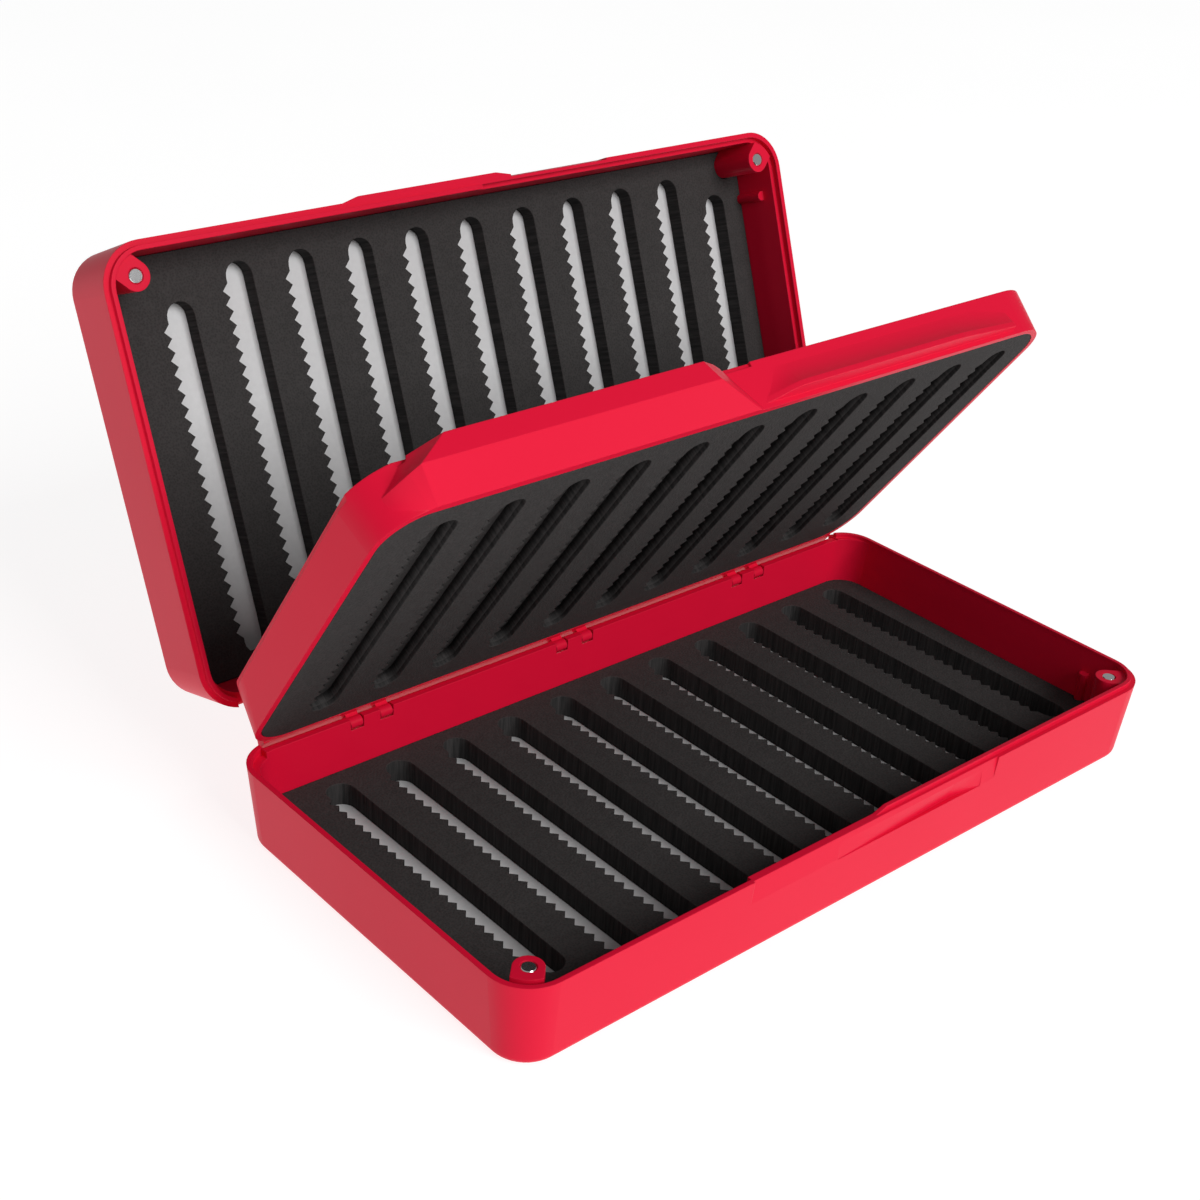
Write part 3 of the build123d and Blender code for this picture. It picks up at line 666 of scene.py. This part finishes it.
@dataclass(frozen=True)
class SlotRow:
    """Row of toothed slots: where it lies, how far the slots run and how their teeth are cut."""

    front: float
    back: float
    shift: float = 0.0
    end_setback: float = 0.0
    count: int = 11
    pitch: float = 13.13 * MM
    lead: float = 6.37 * MM
    width: float = 5.33 * MM
    tooth_depth: float = 1.2 * MM
    tooth_pitch: float = 2.52 * MM

    def outlines(self, grow: float = 0.0) -> list[list[Point]]:
        """Draw every slot.

        Args:
            grow: How far a slot is widened all round, where a lower layer must stand back.

        Returns:
            The outline of each slot, from left to right.
        """
        first = self.lead - self.count * self.pitch / 2 + self.shift
        slots = []
        for index in range(self.count):
            setback = self.end_setback if index in (0, self.count - 1) else 0.0
            slots.append(self._slot(first + index * self.pitch, self.front + setback, grow))
        return slots

    def _slot(self, left: float, front: float, grow: float) -> list[Point]:
        """Draw one slot: round ends, a straight right edge and V teeth cut into the left one.

        Args:
            left: X of the teeth's points.
            front: Y where the slot starts.
            grow: How far the slot is widened all round.

        Returns:
            The slot's outline.
        """
        radius = self.width / 2 + grow
        middle = left + self.tooth_depth + self.width / 2
        run = self.back - front - self.width
        teeth = int(run / self.tooth_pitch)
        first = (front + self.back - teeth * self.tooth_pitch) / 2
        outline = arc((middle, front + self.width / 2), radius, 180, 360)
        outline += arc((middle, self.back - self.width / 2), radius, 0, 180)
        for tooth in reversed(range(teeth)):
            outline.append((middle - radius, first + (tooth + 1) * self.tooth_pitch))
            outline.append((left - grow, first + (tooth + 0.5) * self.tooth_pitch))
        outline.append((middle - radius, first))
        return outline


@dataclass(frozen=True)
class Layer:
    """One layer of a foam sheet, from one height to another, with its outlines."""

    low: float
    high: float
    outlines: tuple[Sequence[Point], ...]
    softness: float = 0.0

    def mesh(self) -> bpy.types.Mesh:
        """Cut the layer.

        Returns:
            The layer as a mesh whose cut edges are rounded by the softness.
        """
        curve = bpy.data.curves.new("foam_layer", "CURVE")
        curve.dimensions = "2D"
        curve.fill_mode = "BOTH"
        curve.extrude = (self.high - self.low) / 2 - self.softness
        curve.bevel_depth = self.softness
        curve.bevel_resolution = 2
        curve.offset = -self.softness
        for outline in self.outlines:
            spline = curve.splines.new("POLY")
            spline.points.add(len(outline) - 1)
            for point, (x, y) in zip(spline.points, outline):
                point.co = (x, y, 0.0, 1.0)
            spline.use_cyclic_u = True
        holder = bpy.data.objects.new("foam_layer", curve)
        bpy.context.scene.collection.objects.link(holder)
        view = bpy.context.evaluated_depsgraph_get()
        mesh = bpy.data.meshes.new_from_object(holder.evaluated_get(view))
        mesh.transform(Matrix.Translation((0, 0, (self.high + self.low) / 2)))
        bpy.data.objects.remove(holder)
        return mesh


@dataclass(frozen=True)
class FoamSheet:
    """Slotted foam sheet of one leaf, as it lies in the closed box."""

    name: str
    node: str
    leaf: Leaf
    layers: tuple[Layer, ...]

    def build(self, workshop: Workshop, leaves: Leaves) -> None:
        """Cut the sheet as one piece that stands for its CAD node.

        Args:
            workshop: Gives the piece its finish.
            leaves: Stands the piece on its leaf.
        """
        shape = bmesh.new()
        for layer in self.layers:
            shape.from_mesh(layer.mesh())
        bmesh.ops.remove_doubles(shape, verts=shape.verts, dist=WELD_DISTANCE)
        mesh = bpy.data.meshes.new(self.name)
        shape.to_mesh(mesh)
        shape.free()
        piece = bpy.data.objects.new(self.name, mesh)
        bpy.context.scene.collection.objects.link(piece)
        workshop.dress(piece, Finish.BLACK_FOAM)
        leaves.put(piece, self.leaf)
        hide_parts(self.node)
        LOG.info("built %s, %d faces", self.name, len(mesh.polygons))


class Inward(Enum):
    """Which way the back of a leaf foam lies from its open face in the closed box."""

    UP = 1
    DOWN = -1


class FoamShop:
    """Cuts the four foam sheets of the box."""

    def __init__(self, frame: dict[str, Any], workshop: Workshop) -> None:
        """Note the shared sizes.

        Args:
            workshop: Gives the sheets their finish.
        """
        self.plan = BoxPlan()
        self.workshop = workshop
        self.leaves = Leaves(frame["joints"])

    def build(self) -> None:
        """Cut all four sheets."""
        plan = self.plan
        tray = self._through_layers(plan.tray_foam_bottom, plan.tray_foam_top, plan.tray_slot_shift)
        lid = self._through_layers(plan.lid_foam_bottom, plan.lid_foam_top, 0.0)
        tray_side = self._blind_layers(plan.leaf_tray_face, Inward.UP, plan.leaf_tray_hinge_radius)
        lid_side = self._blind_layers(plan.leaf_lid_face, Inward.DOWN, plan.leaf_lid_hinge_radius)
        for name, node, leaf, layers in (
            ("tray_foam_sheet", "tray_foam", Leaf.TRAY, tray),
            ("lid_foam_sheet", "lid_foam", Leaf.LID, lid),
            ("leaf_foam_tray_side", "middle_foam_lower", Leaf.MIDDLE, tray_side),
            ("leaf_foam_lid_side", "middle_foam_upper", Leaf.MIDDLE, lid_side),
        ):
            FoamSheet(name, node, leaf, layers).build(self.workshop, self.leaves)

    def _through_layers(self, low: float, high: float, slot_shift: float) -> tuple[Layer, ...]:
        """Cut a shell's foam, whose slots go right through.

        Args:
            low: Height of the sheet's lower face in the closed box.
            high: Height of its upper face.
            slot_shift: How far its slots are moved along the box.

        Returns:
            The sheet's only layer.
        """
        plan = self.plan
        front, back = plan.front + plan.shell_slot_front, plan.hinge_side - plan.shell_slot_back
        row = SlotRow(front, back, slot_shift, plan.end_slot_setback)
        return (Layer(low, high, (self._shell_outline(), *row.outlines()), plan.softness),)

    def _blind_layers(self, face: float, inward: Inward, hinge_radius: float) -> tuple[Layer, ...]:
        """Cut a foam of the middle leaf, with blind slots, and hollows behind for the strike posts.

        Args:
            face: Height of the sheet's open face in the closed box.
            inward: Which way its back lies from that face.
            hinge_radius: Radius of its corners at the hinge.

        Returns:
            The sheet's layers, from the open face to the back.
        """
        plan = self.plan
        half_x, half_y = plan.length / 2 - plan.leaf_inset, plan.width / 2 - plan.leaf_inset
        outline = rounded_plan(half_x, half_y, plan.leaf_front_radius, hinge_radius)
        front, back = plan.front + plan.leaf_slot_front, plan.hinge_side - plan.leaf_slot_back
        row = SlotRow(front, back, plan.leaf_slot_shift)
        post_x, post_y = plan.length / 2 - plan.strike_inset_x, plan.front + plan.strike_inset_y
        hollows = [circle((side * post_x, post_y), plan.post_radius) for side in (-1, 1)]
        covered = (outline, *row.outlines())
        slotted = (outline, *hollows, *row.outlines(plan.leaf_step_back))
        layers = []
        for near, far, outlines, softness in (
            (0.0, plan.leaf_post_cover, covered, plan.softness),
            (plan.leaf_post_cover - plan.softness, plan.leaf_slot_depth, slotted, 0.0),
            (plan.leaf_slot_depth, plan.leaf_foam_thickness, (outline, *hollows), 0.0),
        ):
            ends = [face + depth * inward.value for depth in (near, far)]
            layers.append(Layer(min(ends), max(ends), outlines, softness))
        return tuple(layers)

    def _shell_outline(self) -> list[Point]:
        """Draw a shell's foam, cut round the magnet posts and the end ribs.

        Returns:
            The outline, anticlockwise from the right front corner.
        """
        plan = self.plan
        radius = plan.shell_radius
        half_x = plan.length / 2 - plan.shell_inset
        corner_x = half_x - radius
        right = self._post_corner((corner_x, plan.front + plan.shell_inset + radius), radius)
        right += self._rib_notch(half_x)
        right += arc((corner_x, plan.hinge_side - plan.hinge_inset - radius), radius, 0, 90, steps=12)
        left = [(-x, y) for x, y in reversed(right)]
        return right + left

    def _post_corner(self, centre: Point, radius: float) -> list[Point]:
        """Draw the right front corner, cut away round the post that runs into it.

        Args:
            centre: Centre of the corner's rounding.
            radius: Radius of the rounding.

        Returns:
            The points from the front edge to the right edge.
        """
        plan = self.plan
        post = (plan.length / 2 - plan.boss_inset_x, plan.front + plan.boss_inset_y)
        bite = arc(post, plan.boss_radius, -135, -315, steps=16)
        first, last = (self._reach(point, centre, radius) for point in (bite[0], bite[-1]))
        angles = [math.degrees(math.atan2(y - centre[1], x - centre[0])) for x, y in (first, last)]
        before = arc(centre, radius, -90, angles[0], steps=3)
        after = arc(centre, radius, angles[1], 0, steps=5)
        return before + bite + after

    @staticmethod
    def _reach(start: Point, centre: Point, radius: float) -> Point:
        """Run a line from a point in a corner's circle out to the circle, half-way between X and -Y.

        Args:
            start: The point.
            centre: Centre of the circle.
            radius: Radius of the circle.

        Returns:
            The point where the line meets the circle.
        """
        across, down = start[0] - centre[0], start[1] - centre[1]
        lean = (across - down) / math.sqrt(2)
        run = math.sqrt(lean**2 - across**2 - down**2 + radius**2) - lean
        return start[0] + run / math.sqrt(2), start[1] - run / math.sqrt(2)

    def _rib_notch(self, half_x: float) -> list[Point]:
        """Draw the bite round the rib of the right end wall.

        Args:
            half_x: X of the sheet's right edge.

        Returns:
            The bite's points, from front to back.
        """
        plan = self.plan
        centre = (half_x + plan.rib_gap, plan.front + plan.rib_inset_y)
        reach = math.degrees(math.acos(plan.rib_gap / plan.rib_radius))
        return arc(centre, plan.rib_radius, 180 + reach, 180 - reach, steps=8)


@dataclass
class Studio:
    """Pale floor, soft light and the camera."""

    camera_place: Vector = Vector((-210.34, -197.79, 193.60)) * MM
    azimuth: float = 42.336
    elevation: float = -31.047
    roll: float = 3.42
    focal_share: float = 1802.36 / 1200.0
    shift_up: float = 91.0 / 1200.0
    sensor: float = 36.0
    floor_size: float = 6.0
    floor_drop: float = 0.15 * MM
    floor_glow: float = 0.84
    dust_scale: float = 6.0
    sky_strength: float = 0.26
    key_place: Place = (0.14, -1.93, 1.26)
    key_aim: Place = (0.0, 0.0, 0.03)
    key_size: float = 1.1
    key_power: float = 38.5

    def build(self) -> None:
        """Make the floor, the light and the camera."""
        self._floor()
        self._sky()
        self._key_light()
        self._camera()
        LOG.info("set up the floor, the sky, the key light and the camera")

    def _floor(self) -> None:
        """Lay a wide plain floor just under the tray."""
        bpy.ops.mesh.primitive_plane_add(size=self.floor_size, location=(0, 0, -self.floor_drop))
        floor = bpy.context.object
        floor.name = "studio_floor"
        graph = Graph("studio_floor")
        dust = graph.noise(self.dust_scale)
        graph.feed(Base_Color=graph.mix(dust, Shade.FLOOR.rgba, Shade.FLOOR_DUST.rgba))
        graph.feed(Emission_Color=Shade.WHITE.rgba, Emission_Strength=self.floor_glow)
        graph.feed(Roughness=0.9, Specular_IOR_Level=0.1)
        floor.data.materials.append(graph.material)

    def _sky(self) -> None:
        """Light the scene evenly from all round."""
        world = bpy.data.worlds.new("studio")
        world.use_nodes = True
        background = world.node_tree.nodes["Background"]
        background.inputs["Color"].default_value = Shade.WHITE.rgba
        background.inputs["Strength"].default_value = self.sky_strength
        bpy.context.scene.world = world

    def _key_light(self) -> None:
        """Hang a square soft light that faces the middle of the box."""
        light = bpy.data.lights.new("key", "AREA")
        light.size = self.key_size
        light.energy = self.key_power
        lamp = bpy.data.objects.new("key", light)
        lamp.location = self.key_place
        lamp.rotation_mode = "QUATERNION"
        lamp.rotation_quaternion = (Vector(self.key_place) - Vector(self.key_aim)).to_track_quat("Z", "Y")
        bpy.context.scene.collection.objects.link(lamp)

    def _camera(self) -> None:
        """Stand the camera over the front left corner and look along the box."""
        data = bpy.data.cameras.new("camera")
        data.sensor_width = self.sensor
        data.lens = self.focal_share * self.sensor
        data.shift_y = self.shift_up
        data.clip_start = 0.01
        camera = bpy.data.objects.new("camera", data)
        turn, rise, roll = (math.radians(a) for a in (self.azimuth, self.elevation, self.roll))
        forward = Vector((math.sin(turn) * math.cos(rise), math.cos(turn) * math.cos(rise), math.sin(rise)))
        level = forward.cross(Vector((0, 0, 1))).normalized()
        upright = level.cross(forward)
        right = level * math.cos(roll) + upright * math.sin(roll)
        up = upright * math.cos(roll) - level * math.sin(roll)
        axes = Matrix((right, up, -forward)).transposed()
        camera.matrix_world = Matrix.Translation(self.camera_place) @ axes.to_4x4()
        bpy.context.scene.collection.objects.link(camera)
        bpy.context.scene.camera = camera


def main() -> None:
    """Load the frame, dress it and set up the studio."""
    logging.basicConfig(level=logging.INFO, format="%(message)s")
    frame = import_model()
    bpy.context.scene.view_settings.view_transform = "Standard"
    workshop = Workshop(frame)
    workshop.dress_nodes()
    FoamShop(frame, workshop).build()
    Studio().build()


if __name__ == "__main__":
    main()
